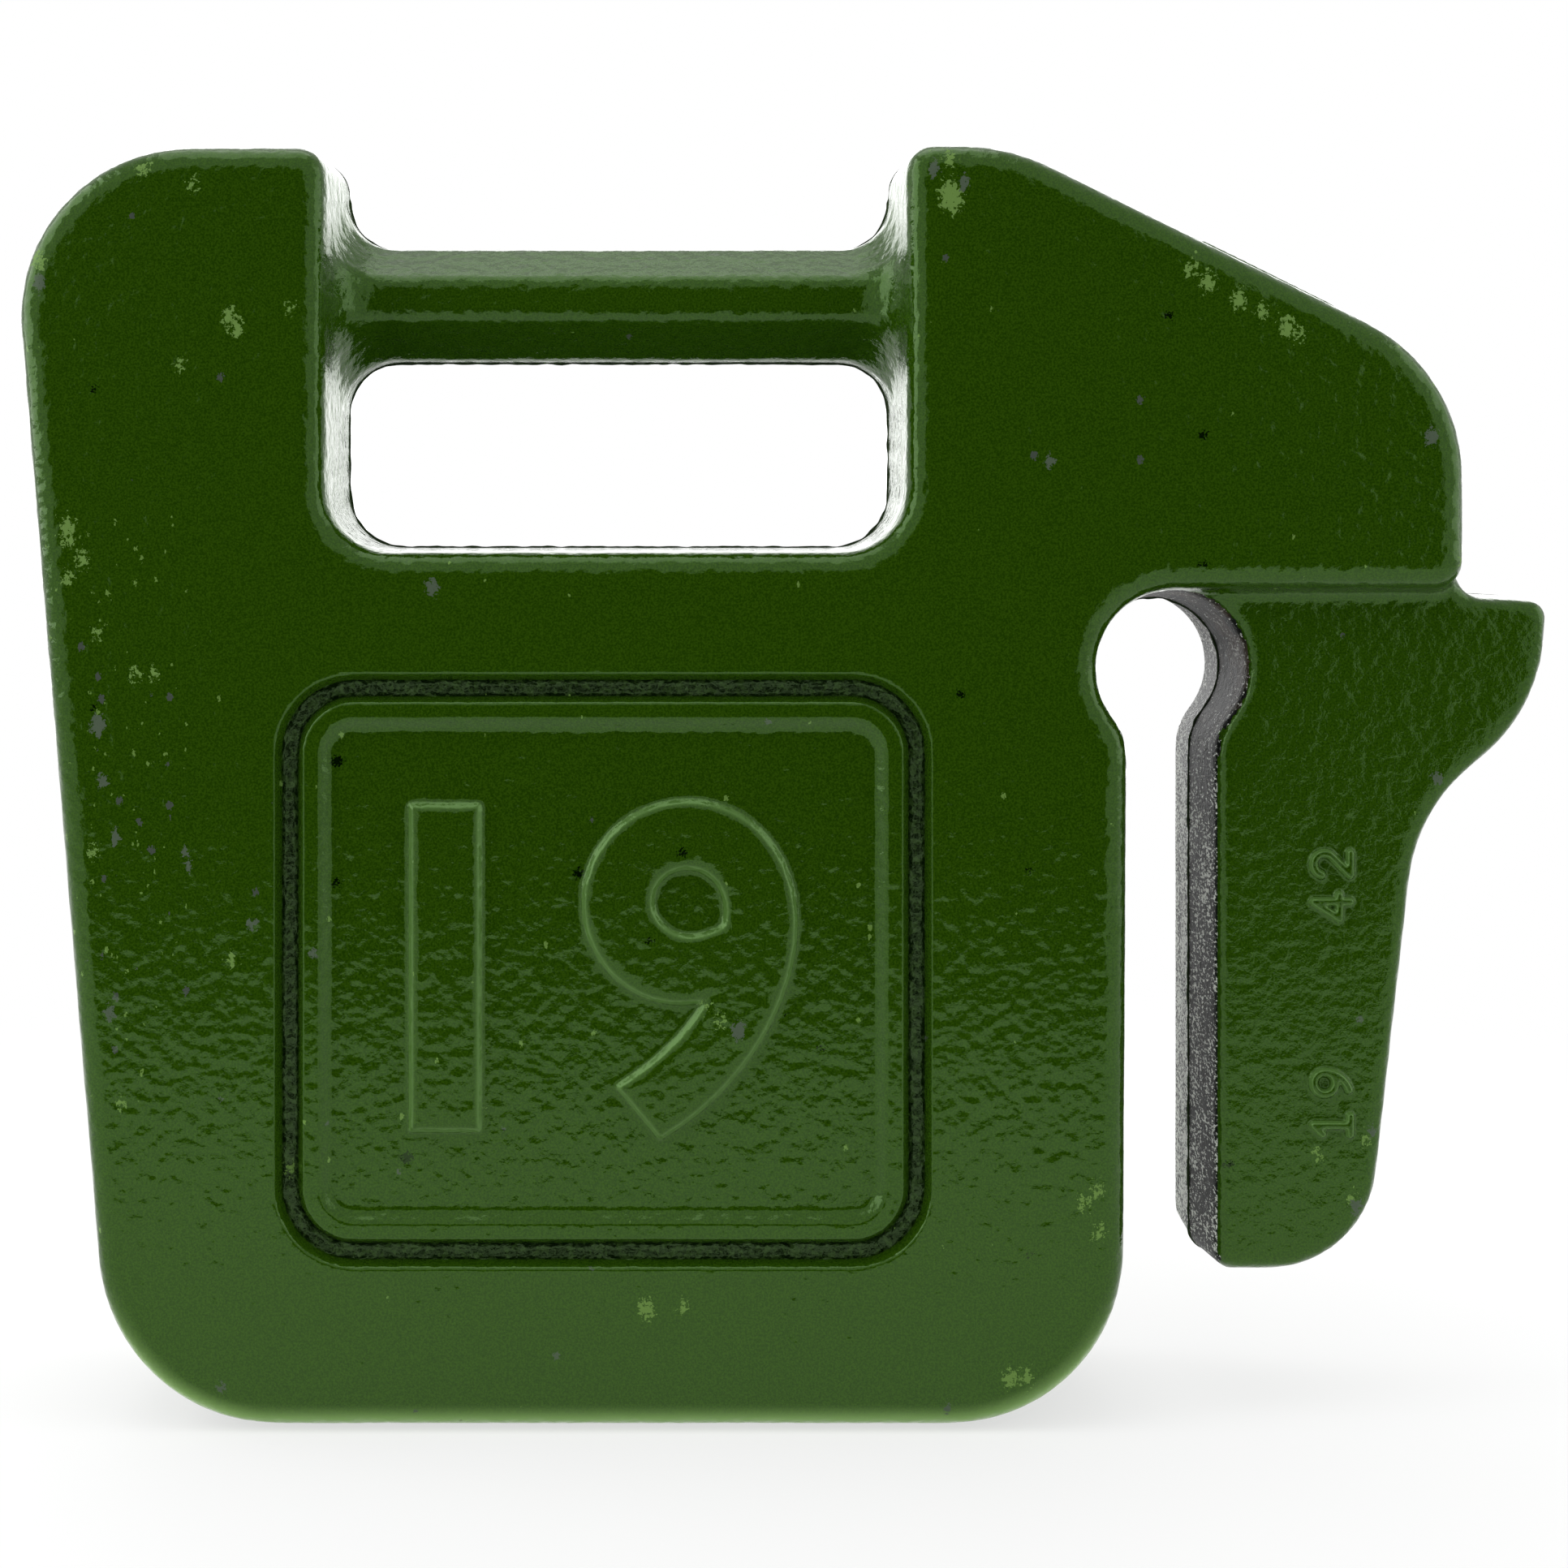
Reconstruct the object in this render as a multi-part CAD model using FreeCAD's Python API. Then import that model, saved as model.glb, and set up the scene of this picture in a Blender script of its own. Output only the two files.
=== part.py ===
import FreeCAD, Part
import math
import os

# One grey iron casting: a slab with two horns and a grip across them, a keyhole
# slot and a thinner hook arm.  Millimetres, X to the right, Z up, the panel face
# looks along -Y.  The two mould halves meet on the plane y = 0, and every wall
# leans inwards from there by the same draft.

# whole casting
half_body = 27.0            # half the thickness of the body
half_arm = 20.4             # half the thickness of the hook arm
draft_deg = 3.5             # lean of every moulded wall
round_body = 4.2            # rounding along the face of the body
round_arm = 2.4             # rounding along the face of the arm
flats_body = 5              # each rounding is drawn as this many narrow flats
flats_arm = 4
tightest = 0.2              # the tightest corners of the arm keep this radius on its face
ground_off = 0.6            # height of the parting ridge ground off the bottom

# shoulders and horns
left_x = -146.7             # left end of the body, at the left shoulder
shoulder_left_r = 33.5
horn_over_left = 17.9       # how far the horns stand over the top of the grip
horn_over_right = 18.3
shoulder_right_r = 40.0     # long rounding that starts the slope
shoulder_right_x = 33.4
horn_corner_r = 6.5         # inner top corner of both horns
right_x = 130.1             # right side of the body above the arm
corner_right_r = 34.2
corner_right_z = 180.7
step_corner_r = 6.6         # lower right corner of the body, where the arm leaves it

# hand opening, measured on the parting plane
opening_left = -85.9
opening_right = 21.6
opening_floor = 167.8
opening_r = 10.8

# foot of the body
foot_left_r = 35.5
foot_left_x = -96.5
foot_right_r = 34.5
foot_right_in = 0.6         # the body is this much narrower at the foot than at the keyhole

# keyhole slot, measured on the parting plane
slot_x = 74.0
slot_width = 15.3
bulb_aside = 0.1            # how far the bulb's middle is off the slot's
bulb_r = 13.6
bulb_z = 144.3
neck_r = 13.0               # roundings between the slot and the bulb

# hook arm
arm_foot_z = 27.8           # lower end of the hook arm
arm_heel_r = 22.0
arm_heel_out = 19.0         # from the middle of the slot
spur_over = 0.4             # the spur's top is this much higher than the step
spur_top_rise = 0.5         # and climbs this much more towards the body
spur_hollow_r = 31.7
spur_hollow_out = 22.6      # out from the right side of the body
spur_hollow_down = 58.4     # down from the spur's top
spur_r = 33.7
spur_in = 16.6
spur_down = 5.9
spur_tip_out = 13.4
notch_r = 4.0
root_r = 5.0                # inside the body the arm's outline runs round two wheels
root_right_in = 13.0        # in from the right side
root_right_up = 30.0        # up from the step
root_left_in = 30.0         # in from the middle of the slot
root_left_up = 14.1
cove_r = 2.2                # inside rounding where the arm meets the body
cove_clear = 0.5            # it starts this far clear of the keyhole's rounding
cove_turn = 28.0            # degrees it follows round the step corner
cove_bite = 0.5             # its back is sunk this deep in the metal

# grip
finger_gap = 36.8           # between the floor of the opening and the grip
grip_height = 22.1
grip_half_depth = 15.0
grip_flat = 7.4             # height of the flat band on the front of the grip
grip_land = 9.0             # depth of the flat band on its top and bottom
grip_round = 3.0
flare_short = 1.4           # its rounded roots stop this far short of the horns' edges
grip_root = 6.0             # how far its bar runs into the horns

# framed panel on the front
panel_x = -34.5
panel_z = 87.3
panel_width = 124.0
panel_height = 112.0
panel_r = 15.0
groove_depth = 3.0
groove_width = 5.4
groove_slope = 1.5
rim_width = 3.0
field_depth = 1.7
field_slope = 2.1

# stub of the pouring gate, left on the slope
gate_length = 32.0
gate_width = 16.0
gate_stand = 2.8            # how far it stands out of the slope at the parting plane
gate_from = 48.8            # from the end of the shoulder rounding to its middle
gate_end = 3.0              # its ends lean by this much
gate_root = 4.0             # how far it runs into the body

# derived values
slant = math.radians(draft_deg)
lean = math.tan(slant)
half_slot = slot_width / 2
bulb_x = slot_x + bulb_aside
step_z = bulb_z + bulb_r
spur_top_z = step_z + spur_over
arm_corner_r = half_arm * lean + round_arm + tightest
grip_top = opening_floor + finger_gap + grip_height
horn_room = min(horn_over_left, horn_over_right) - horn_corner_r
grip_flare = min(half_body - grip_half_depth, horn_room) - flare_short
horn_top_left = grip_top + horn_over_left
horn_top_right = grip_top + horn_over_right
low = -ground_off
front = -half_body
y_axis = FreeCAD.Vector(0, 1, 0)
touching = 1e-4             # wheels nearer than this meet without a straight run


def at(x, z, y=0.0):
    return FreeCAD.Vector(x, y, z)


def polygon_face(points):
    return Part.Face(Part.makePolygon(points + points[:1]))


def both_sides(piece):
    return piece.fuse(piece.mirror(at(0, 0), y_axis))


def tangent(a, b, inset):
    """The straight run from wheel a to wheel b: its two ends and its direction."""
    lift = (b[2] - a[2]) / math.hypot(b[0] - a[0], b[1] - a[1])
    way = math.atan2(b[1] - a[1], b[0] - a[0]) - math.asin(max(-1.0, min(1.0, lift)))
    nx, nz = -math.sin(way), math.cos(way)
    start = (a[0] - (a[2] - inset) * nx, a[1] - (a[2] - inset) * nz)
    end = (b[0] - (b[2] - inset) * nx, b[1] - (b[2] - inset) * nz)
    if math.hypot(end[0] - start[0], end[1] - start[1]) < touching:
        start = end = ((start[0] + end[0]) / 2, (start[1] + end[1]) / 2)
    return start, end, way


def belt(wheels, inset):
    """Lines and arcs round a row of wheels (x, z, r), anticlockwise.

    r below zero is a hollow corner.  inset moves the whole outline inwards."""
    count = len(wheels)
    runs = [tangent(wheels[i], wheels[(i + 1) % count], inset) for i in range(count)]
    pieces = []
    for i in range(count):
        start, end, way = runs[i]
        if start != end:
            pieces.append(("line", start, end))
        x, z, r = wheels[(i + 1) % count]
        leave, _, next_way = runs[(i + 1) % count]
        turn = (next_way - way) % (2 * math.pi)
        if r < 0:
            turn -= 2 * math.pi
        pieces.append(("arc", end, leave, (x, z), turn))
    return pieces


def spin(point, centre, angle):
    dx, dz = point[0] - centre[0], point[1] - centre[1]
    c, s = math.cos(angle), math.sin(angle)
    return (centre[0] + dx * c - dz * s, centre[1] + dx * s + dz * c)


def ring(pieces, y):
    edges = []
    for piece in pieces:
        if piece[0] == "line":
            edges.append(Part.makeLine(at(*piece[1], y), at(*piece[2], y)))
        else:
            middle = spin(piece[1], piece[3], piece[4] / 2)
            arc = Part.Arc(at(*piece[1], y), at(*middle, y), at(*piece[2], y))
            edges.append(arc.toShape())
    return Part.Wire(Part.__sortEdges__(edges))


def taper(wheels, inset_a, y_a, inset_b, y_b):
    """Solid between the outline at y_a and the outline at y_b, with straight ruled walls."""
    rings = [ring(belt(wheels, inset_a), y_a), ring(belt(wheels, inset_b), y_b)]
    return Part.makeLoft(rings, True, True)


def face_inset(half, rounding):
    """How far inside the parting outline the flat face begins."""
    return (rounding + (half - rounding) * math.sin(slant)) / math.cos(slant)


def slab(wheels, half, rounding, flats):
    """Both mould halves of an outline: leaning walls, then a rounding that ends in the face."""
    rings = [ring(belt(wheels, 0.0), 0.0)]
    for i in range(flats + 1):
        angle = slant + (math.pi / 2 - slant) * i / flats
        inset = face_inset(half, rounding) - rounding * math.cos(angle)
        y = rounding - half - rounding * math.sin(angle)
        rings.append(ring(belt(wheels, inset), y))
    return both_sides(Part.makeLoft(rings, True, True))


# the body and the arm share the neck and the keyhole; inside the body the arm runs free
foot_left = (foot_left_x, low + foot_left_r, foot_left_r)
foot_right_x = slot_x - half_slot - foot_right_in - foot_right_r
foot_right = (foot_right_x, low + foot_right_r, foot_right_r)
neck_left_x = slot_x - half_slot - neck_r
neck_right_x = slot_x + half_slot + neck_r
neck_left_z = bulb_z - math.sqrt((bulb_r + neck_r) ** 2 - (bulb_x - neck_left_x) ** 2)
neck_right_z = bulb_z - math.sqrt((bulb_r + neck_r) ** 2 - (neck_right_x - bulb_x) ** 2)
bulb = (bulb_x, bulb_z, -bulb_r)
lower = [foot_left, foot_right, (neck_left_x, neck_left_z, neck_r), bulb]
upper = [
    (right_x - corner_right_r, corner_right_z, corner_right_r),
    (shoulder_right_x, horn_top_right - shoulder_right_r, shoulder_right_r),
    (opening_right + horn_corner_r, horn_top_right - horn_corner_r, horn_corner_r),
    (opening_right - opening_r, opening_floor + opening_r, -opening_r),
    (opening_left + opening_r, opening_floor + opening_r, -opening_r),
    (opening_left - horn_corner_r, horn_top_left - horn_corner_r, horn_corner_r),
    (left_x + shoulder_left_r, horn_top_left - shoulder_left_r, shoulder_left_r),
]
step_corner = (right_x - step_corner_r, step_z + step_corner_r, step_corner_r)
hook = [
    bulb,
    (neck_right_x, neck_right_z, neck_r),
    (slot_x + half_slot + arm_corner_r, arm_foot_z + arm_corner_r, arm_corner_r),
    (slot_x + arm_heel_out, arm_foot_z + arm_heel_r, arm_heel_r),
    (right_x + spur_hollow_out, spur_top_z - spur_hollow_down, -spur_hollow_r),
    (right_x - spur_in, spur_top_z - spur_down, spur_r),
    (right_x + spur_tip_out, spur_top_z - arm_corner_r, arm_corner_r),
    (right_x + notch_r, spur_top_z + spur_top_rise + notch_r, -notch_r),
    (right_x - root_right_in, step_z + root_right_up, root_r),
    (slot_x - root_left_in, step_z + root_left_up, root_r),
]
body = slab(lower + [step_corner] + upper, half_body, round_body, flats_body)
arm = slab(hook, half_arm, round_arm, flats_arm)
casting = body.fuse(arm)
print("body and arm", casting.isValid(), round(casting.Volume / 1000, 1), "cm3")

# the cove between the face of the arm and the wall of the step above it
cove_y = -half_arm - cove_r
cove_z = step_z - cove_y * lean - cove_r / math.cos(slant)
cove_half = math.radians(45) - slant / 2
keyhole_edge = bulb_r + face_inset(half_arm, round_arm)
cove_start = bulb_x + math.sqrt(keyhole_edge**2 - (cove_z - bulb_z) ** 2) + cove_clear
cove_foot = at(cove_start, cove_z, -half_arm)
cove_head = at(cove_start, cove_z + cove_r * math.cos(slant), cove_y + cove_r * math.sin(slant))
cove_middle = at(
    cove_start,
    cove_z + cove_r * math.sin(cove_half),
    cove_y + cove_r * math.cos(cove_half),
)
cove_back = [
    cove_head,
    cove_head + at(0, cove_bite),
    at(cove_start, cove_head.z + cove_bite, cove_bite - half_arm),
    cove_foot + at(0, 0, cove_bite),
    cove_foot,
]
cove_arc = Part.Arc(cove_foot, cove_middle, cove_head).toShape()
cove_wire = Part.Wire([cove_arc] + Part.makePolygon(cove_back).Edges)
cove_run = at(step_corner[0] - cove_start, 0)
cove = Part.Face(cove_wire).extrude(cove_run)
cove_end = Part.Face(cove_wire)
cove_end.translate(cove_run)
cove_bend = cove_end.revolve(at(*step_corner[:2]), -y_axis, cove_turn)
casting = casting.fuse(both_sides(cove)).fuse(both_sides(cove_bend))
print("cove", casting.isValid(), round(casting.Volume / 1000, 1), "cm3")

# the grip: an eight sided bar with soft corners, flared where it leaves the horns
deep = grip_half_depth
high = grip_height / 2
side = grip_flat / 2
land = grip_land / 2
grip_z = grip_top - high
section = [
    (-deep, -side),
    (-deep, side),
    (-land, high),
    (land, high),
    (deep, side),
    (deep, -side),
    (land, -high),
    (-land, -high),
]
bar = polygon_face([at(opening_left - grip_root, grip_z + z, y) for y, z in section])
bar = bar.extrude(at(opening_right - opening_left + 2 * grip_root, 0))
bar = bar.makeFillet(grip_round, [e for e in bar.Edges if e.BoundBox.XLength > grip_height])
casting = casting.fuse(bar)


def roots(wall_x):
    """Edges where the bar meets the horn wall at wall_x."""
    slack = 0.1
    lean_reach = 2 * deep * lean + slack
    found = []
    for e in casting.Edges:
        box = e.BoundBox
        at_wall = wall_x - lean_reach < box.XMin and box.XMax < wall_x + lean_reach
        in_height = grip_z - high - slack < box.ZMin and box.ZMax < grip_z + high + slack
        in_depth = -deep - slack < box.YMin and box.YMax < deep + slack
        if at_wall and in_height and in_depth:
            found.append(e)
    return found


casting = casting.makeFillet(grip_flare, roots(opening_left) + roots(opening_right))
print("grip", casting.isValid(), round(casting.Volume / 1000, 1), "cm3")

# the panel: a groove round a flush rim, and a sunken field inside the rim
wheel_x = panel_width / 2 - panel_r
wheel_z = panel_height / 2 - panel_r
frame = [
    (panel_x - wheel_x, panel_z - wheel_z, panel_r),
    (panel_x + wheel_x, panel_z - wheel_z, panel_r),
    (panel_x + wheel_x, panel_z + wheel_z, panel_r),
    (panel_x - wheel_x, panel_z + wheel_z, panel_r),
]
groove_floor = front + groove_depth
groove = taper(frame, 0.0, front, groove_slope, groove_floor)
island = taper(frame, groove_width, front, groove_width - groove_slope, groove_floor)
field_in = groove_width + rim_width
field = taper(frame, field_in, front, field_in + field_slope, front + field_depth)
casting = casting.cut(groove.cut(island)).cut(field)
print("panel", casting.isValid(), round(casting.Volume / 1000, 1), "cm3")

# the gate stub on the slope, between the first two wheels of the upper row
crest_start, crest_end, crest_way = tangent(upper[0], upper[1], 0.0)
down = at(-math.cos(crest_way), -math.sin(crest_way))
out = at(math.sin(crest_way), -math.cos(crest_way))
gate_middle = at(*crest_end) + down * gate_from
wide = (gate_length + gate_end) / 2
tight = (gate_length - gate_end) / 2
gate = polygon_face([
    gate_middle - down * wide - out * gate_root,
    gate_middle + down * wide - out * gate_root,
    gate_middle + down * wide,
    gate_middle + down * tight + out * gate_stand,
    gate_middle - down * tight + out * gate_stand,
    gate_middle - down * wide,
])
gate = gate.extrude(y_axis * gate_width)
gate.translate(y_axis * (-gate_width / 2))
casting = casting.fuse(gate)

# the parting ridge is ground flat along the bottom, which gives the casting its foot
span = casting.BoundBox
below = at(span.XMin, -span.ZLength, span.YMin)
ground = Part.makeBox(span.XLength, span.YLength, span.ZLength, below)
casting = casting.cut(ground).removeSplitter()
print("casting", casting.isValid(), len(casting.Solids), round(casting.Volume / 1000, 1), "cm3")

os.makedirs("parts", exist_ok=True)
casting.exportStep("parts/weight_casting.step")
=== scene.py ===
import math

import bmesh
import bpy
import numpy as np
from mathutils import Matrix, Vector, noise


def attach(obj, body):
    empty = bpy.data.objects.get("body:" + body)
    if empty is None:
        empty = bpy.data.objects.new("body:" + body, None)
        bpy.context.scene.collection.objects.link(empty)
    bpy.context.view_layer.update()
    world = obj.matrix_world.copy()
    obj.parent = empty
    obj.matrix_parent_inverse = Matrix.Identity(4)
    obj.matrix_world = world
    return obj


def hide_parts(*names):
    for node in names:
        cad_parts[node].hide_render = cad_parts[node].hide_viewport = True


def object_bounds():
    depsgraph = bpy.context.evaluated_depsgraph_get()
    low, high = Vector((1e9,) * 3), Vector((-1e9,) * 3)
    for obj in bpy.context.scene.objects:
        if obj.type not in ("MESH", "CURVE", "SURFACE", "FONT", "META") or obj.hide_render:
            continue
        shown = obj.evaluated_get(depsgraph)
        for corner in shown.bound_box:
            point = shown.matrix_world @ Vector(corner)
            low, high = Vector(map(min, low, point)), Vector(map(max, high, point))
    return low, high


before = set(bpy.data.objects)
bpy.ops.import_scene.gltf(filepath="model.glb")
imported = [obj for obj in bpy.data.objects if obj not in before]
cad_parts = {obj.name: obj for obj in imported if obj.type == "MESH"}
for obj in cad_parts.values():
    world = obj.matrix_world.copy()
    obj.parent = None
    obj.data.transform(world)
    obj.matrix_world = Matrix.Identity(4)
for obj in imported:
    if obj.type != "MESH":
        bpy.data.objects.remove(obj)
cadLow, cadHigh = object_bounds()
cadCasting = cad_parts["weight_casting"]
mm = 0.001

# where things are on the casting
places = {
    "armFront": -20.4 * mm,    # front face of the hook arm
    "fieldFront": -25.3 * mm,  # sunk field of the panel
    "armTop": 150 * mm,
    "slotX": 74 * mm,          # middle of the bar slot
    "slotHalf": 7.65 * mm,
    "slotRim": 18 * mm,        # how far the slot and its bulb reach, roundings included
    "bulbZ": 144.3 * mm,
    "bulbRadius": 13.6 * mm,
    "bulbTop": 163 * mm,
    "openingLeft": -80 * mm,   # the hand opening
    "openingRight": 16 * mm,
    "openingFloor": 160 * mm,
    "openingRim": 10 * mm,     # its corners reach this much further, up to openingTop
    "openingTop": 237 * mm,
    "gripLow": 195 * mm,
}


def linkObject(name, data):
    piece = bpy.data.objects.new(name, data)
    bpy.context.scene.collection.objects.link(piece)
    return piece


def finishedMesh(piece):
    graph = bpy.context.evaluated_depsgraph_get()
    return bpy.data.meshes.new_from_object(piece.evaluated_get(graph))


def applyModifiers(piece):
    mesh = finishedMesh(piece)
    piece.modifiers.clear()
    old = piece.data
    piece.data = mesh
    if old.users == 0:
        bpy.data.meshes.remove(old)


def pointsOf(mesh):
    flat = np.zeros(len(mesh.vertices) * 3)
    mesh.vertices.foreach_get("co", flat)
    return flat.reshape(-1, 3)


def keptInside(co):
    return Vector([min(max(c, low), high) for c, low, high in zip(co, cadLow, cadHigh)])


def reshape(piece, change):
    # runs change on the piece's mesh
    bm = bmesh.new()
    bm.from_mesh(piece.data)
    change(bm)
    bm.to_mesh(piece.data)
    bm.free()


# the cast skin: the solid's surface made again as a soft mesh, then waved a little
casting = {
    "voxel": 1.0 * mm,
    "smoothSteps": 9,          # widens the roundings of the face edges
    "gripSoft": 0.3,           # the grip and the hook arm are softened less
    "armSoft": 0.6,
    "waveLength": 14 * mm,
    "waveHeight": 0.05 * mm,
    "waveSeed": 7.3,
}

# thin flash left where the two mould halves met
flash = {
    "width": 0.45 * mm,
    "outerShare": 0.3,         # share of it that is left round the outside
    "raggedLength": 2.5 * mm,
    "raggedMean": 0.7,
    "raggedSpread": 0.6,
    "least": 0.1,
    "onSeam": 0.02 * mm,       # points this near the middle plane are on the seam
}

# two areas are cut out of the skin and made again with a finer mesh
panel = {
    "x": -34.5 * mm,
    "z": 87.3 * mm,
    "halfWidth": 64.5 * mm,    # of the cut
    "halfHeight": 58.5 * mm,
    "spare": 4 * mm,
    "back": -20 * mm,          # its block is cut off here,
    "keep": -22.5 * mm,        # and what lies in front of this is kept
    "voxel": 0.5 * mm,
    "smoothSteps": 2,
}
armMarks = {
    "x": 104.5 * mm,
    "z": 82.0 * mm,
    "halfWidth": 6.2 * mm,
    "halfHeight": 33 * mm,
    "spare": 2 * mm,
    "back": -15 * mm,
    "keep": -18.8 * mm,
    "voxel": 0.25 * mm,
    "smoothSteps": 2,
}
patches = {
    "overlap": 0.8 * mm,
    "sunk": 0.01 * mm,
    "calm": 10 * mm,           # the skin's waves fade out over this margin
}

# the raised plain number in the panel
panelNumber = {
    "text": "19",
    "height": 58 * mm,
    "capShare": 0.7,           # a number's height as a share of the font's size
    "stand": 1.68 * mm,
    "sink": 3.2 * mm,
    "round": 2.2 * mm,
    "fat": 0.8 * mm,
    "spacing": 1.12,
}

# the plain numbers up the hook arm, each with the height of its middle
armNumbers = {
    "row": [("1", 56.8 * mm), ("9", 65.0 * mm), ("4", 98.6 * mm), ("2", 106.8 * mm)],
    "height": 7.0 * mm,        # of the middle line of the strokes
    "middleShare": 0.31,       # half the width of a number, as a share of its height
    "foot": 1.02 * mm,         # half the width of a stroke where it leaves the face
    "stand": 1.3 * mm,
    "sink": 0.6 * mm,
    "lean": 0.48,              # how much its sides lean in
    "step": 0.35 * mm,
    "sides": 16,
}


def beyond(area, x, z):
    return max(abs(x - area["x"]) - area["halfWidth"], abs(z - area["z"]) - area["halfHeight"])


def softMesh(piece, voxel, steps, softAt=None):
    remesh = piece.modifiers.new("soften", "REMESH")
    remesh.mode = "VOXEL"
    remesh.voxel_size = voxel
    applyModifiers(piece)
    smooth = piece.modifiers.new("smooth", "SMOOTH")
    smooth.factor = 0.5
    smooth.iterations = steps
    if softAt:
        group = piece.vertex_groups.new(name="soft")
        for vertex in piece.data.vertices:
            group.add([vertex.index], softAt(vertex.co), "REPLACE")
        smooth.vertex_group = group.name
    applyModifiers(piece)


def skinSoftness(co):
    if places["openingLeft"] < co.x < places["openingRight"] and co.z > places["gripLow"]:
        return casting["gripSoft"]
    if co.x > places["slotX"] and co.z < places["armTop"]:
        return casting["armSoft"]
    return 1.0


def nearHole(co):
    # in the hand opening, in its rounded corners, or in the keyhole
    rim = places["openingRim"] if co.z < places["openingTop"] else 0
    inWidth = places["openingLeft"] - rim < co.x < places["openingRight"] + rim
    if inWidth and co.z > places["openingFloor"]:
        return True
    return abs(co.x - places["slotX"]) < places["slotRim"] and co.z < places["bulbTop"]


def spotOf(vertex):
    # an extruded copy of the vertex has the same spot
    return tuple(round(c, 7) for c in vertex.co)


def addFlash(bm):
    # a ragged fin stands out of the parting line all round
    bm.normal_update()
    rim = [e for e in bm.edges if e.is_boundary and all(abs(v.co.y) < flash["onSeam"] for v in e.verts)]
    outward = {}
    for vertex in dict.fromkeys(v for e in rim for v in e.verts):
        outward[spotOf(vertex)] = Vector((vertex.normal.x, 0, vertex.normal.z)).normalized()
    added = bmesh.ops.extrude_edge_only(bm, edges=rim)
    for vertex in [v for v in added["geom"] if isinstance(v, bmesh.types.BMVert)]:
        way = outward[spotOf(vertex)]
        wander = noise.noise(vertex.co / flash["raggedLength"])
        ragged = max(flash["raggedMean"] + flash["raggedSpread"] * wander, flash["least"])
        share = 1.0 if nearHole(vertex.co) else flash["outerShare"]
        vertex.co = keptInside(vertex.co + way * flash["width"] * share * ragged)


def waveSkin(mesh):
    normals = [v.normal.copy() for v in mesh.vertices]
    seed = Vector((casting["waveSeed"], 0, 0))
    for vertex, normal in zip(mesh.vertices, normals):
        margin = min(beyond(area, vertex.co.x, vertex.co.z) for area in (panel, armMarks))
        calm = min(max(margin / patches["calm"], 0.0), 1.0)
        if vertex.co.y > 0:
            calm = 1.0
        height = noise.noise(vertex.co / casting["waveLength"] + seed) * casting["waveHeight"]
        vertex.co = keptInside(vertex.co + normal * height * calm)
    mesh.update()


def cutAway(piece, point, normal, fill=False):
    # removes the side that the normal points to
    def change(bm):
        everything = bm.verts[:] + bm.edges[:] + bm.faces[:]
        cut = bmesh.ops.bisect_plane(
            bm, geom=everything, plane_co=point, plane_no=normal, clear_outer=True
        )
        if fill:
            edges = [e for e in cut["geom_cut"] if isinstance(e, bmesh.types.BMEdge)]
            bmesh.ops.holes_fill(bm, edges=edges)
    reshape(piece, change)


def weld(bm):
    bmesh.ops.remove_doubles(bm, verts=bm.verts[:], dist=1e-3 * mm)


def dropFaces(piece, unwanted):
    def change(bm):
        faces = [f for f in bm.faces if unwanted(f.calc_center_median())]
        bmesh.ops.delete(bm, geom=faces, context="FACES")
    reshape(piece, change)


def smoothShade(mesh):
    for polygon in mesh.polygons:
        polygon.use_smooth = True
    mesh.update()


def makeSkin():
    skin = linkObject("casting_skin", cadCasting.data.copy())
    softMesh(skin, casting["voxel"], casting["smoothSteps"], skinSoftness)
    waveSkin(skin.data)
    front = linkObject("casting_front", skin.data.copy())
    cutAway(front, (0, 0, 0), (0, 1, 0))
    reshape(front, addFlash)
    for area in (panel, armMarks):
        dropFaces(front, lambda c: c.y < area["keep"] and beyond(area, c.x, c.z) < 0)
    back = linkObject("casting_back", skin.data.copy())
    cutAway(back, (0, 0, 0), (0, -1, 0))
    bpy.data.objects.remove(skin)
    return [front, back]


def panelNumberMesh():
    stand, sink = panelNumber["stand"], panelNumber["sink"]
    curve = bpy.data.curves.new("number", "FONT")
    curve.body = panelNumber["text"]
    curve.align_x = "CENTER"
    curve.align_y = "CENTER"
    curve.size = panelNumber["height"] / panelNumber["capShare"]
    curve.extrude = (stand + sink) / 2 - panelNumber["round"]
    curve.bevel_depth = panelNumber["round"]
    curve.bevel_resolution = 3
    curve.space_character = panelNumber["spacing"]
    curve.offset = panelNumber["fat"]
    curve.resolution_u = 16
    writing = linkObject("number", curve)
    mesh = finishedMesh(writing)
    bpy.data.objects.remove(writing)
    points = pointsOf(mesh)
    middle = Vector((points.min(0) + points.max(0)) / 2)
    y = places["fieldFront"] - (stand - sink) / 2
    for vertex in mesh.vertices:
        a, b, c = vertex.co - middle
        vertex.co = (panel["x"] + a, y - c, panel["z"] + b)
    return mesh


def arc(x, z, radius, start, end):
    steps = 18
    turns = [math.radians(start + (end - start) * i / steps) for i in range(steps + 1)]
    return [(x + radius * math.cos(t), z + radius * math.sin(t)) for t in turns]


# the middle lines of the strokes, in shares of a number's height
strokes = {
    "1": [[(0.10, 0.76), (0.33, 1.0), (0.33, 0.0)], [(0.08, 0.0), (0.58, 0.0)]],
    "2": [arc(0.31, 0.70, 0.30, 165, -35) + [(0.02, 0.0), (0.62, 0.0)]],
    "4": [[(0.46, 0.0), (0.46, 1.0), (0.0, 0.30), (0.64, 0.30)]],
    "9": [arc(0.31, 0.70, 0.30, 0, 360), arc(-0.09, 0.70, 0.70, 0, -72)],
}


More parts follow.
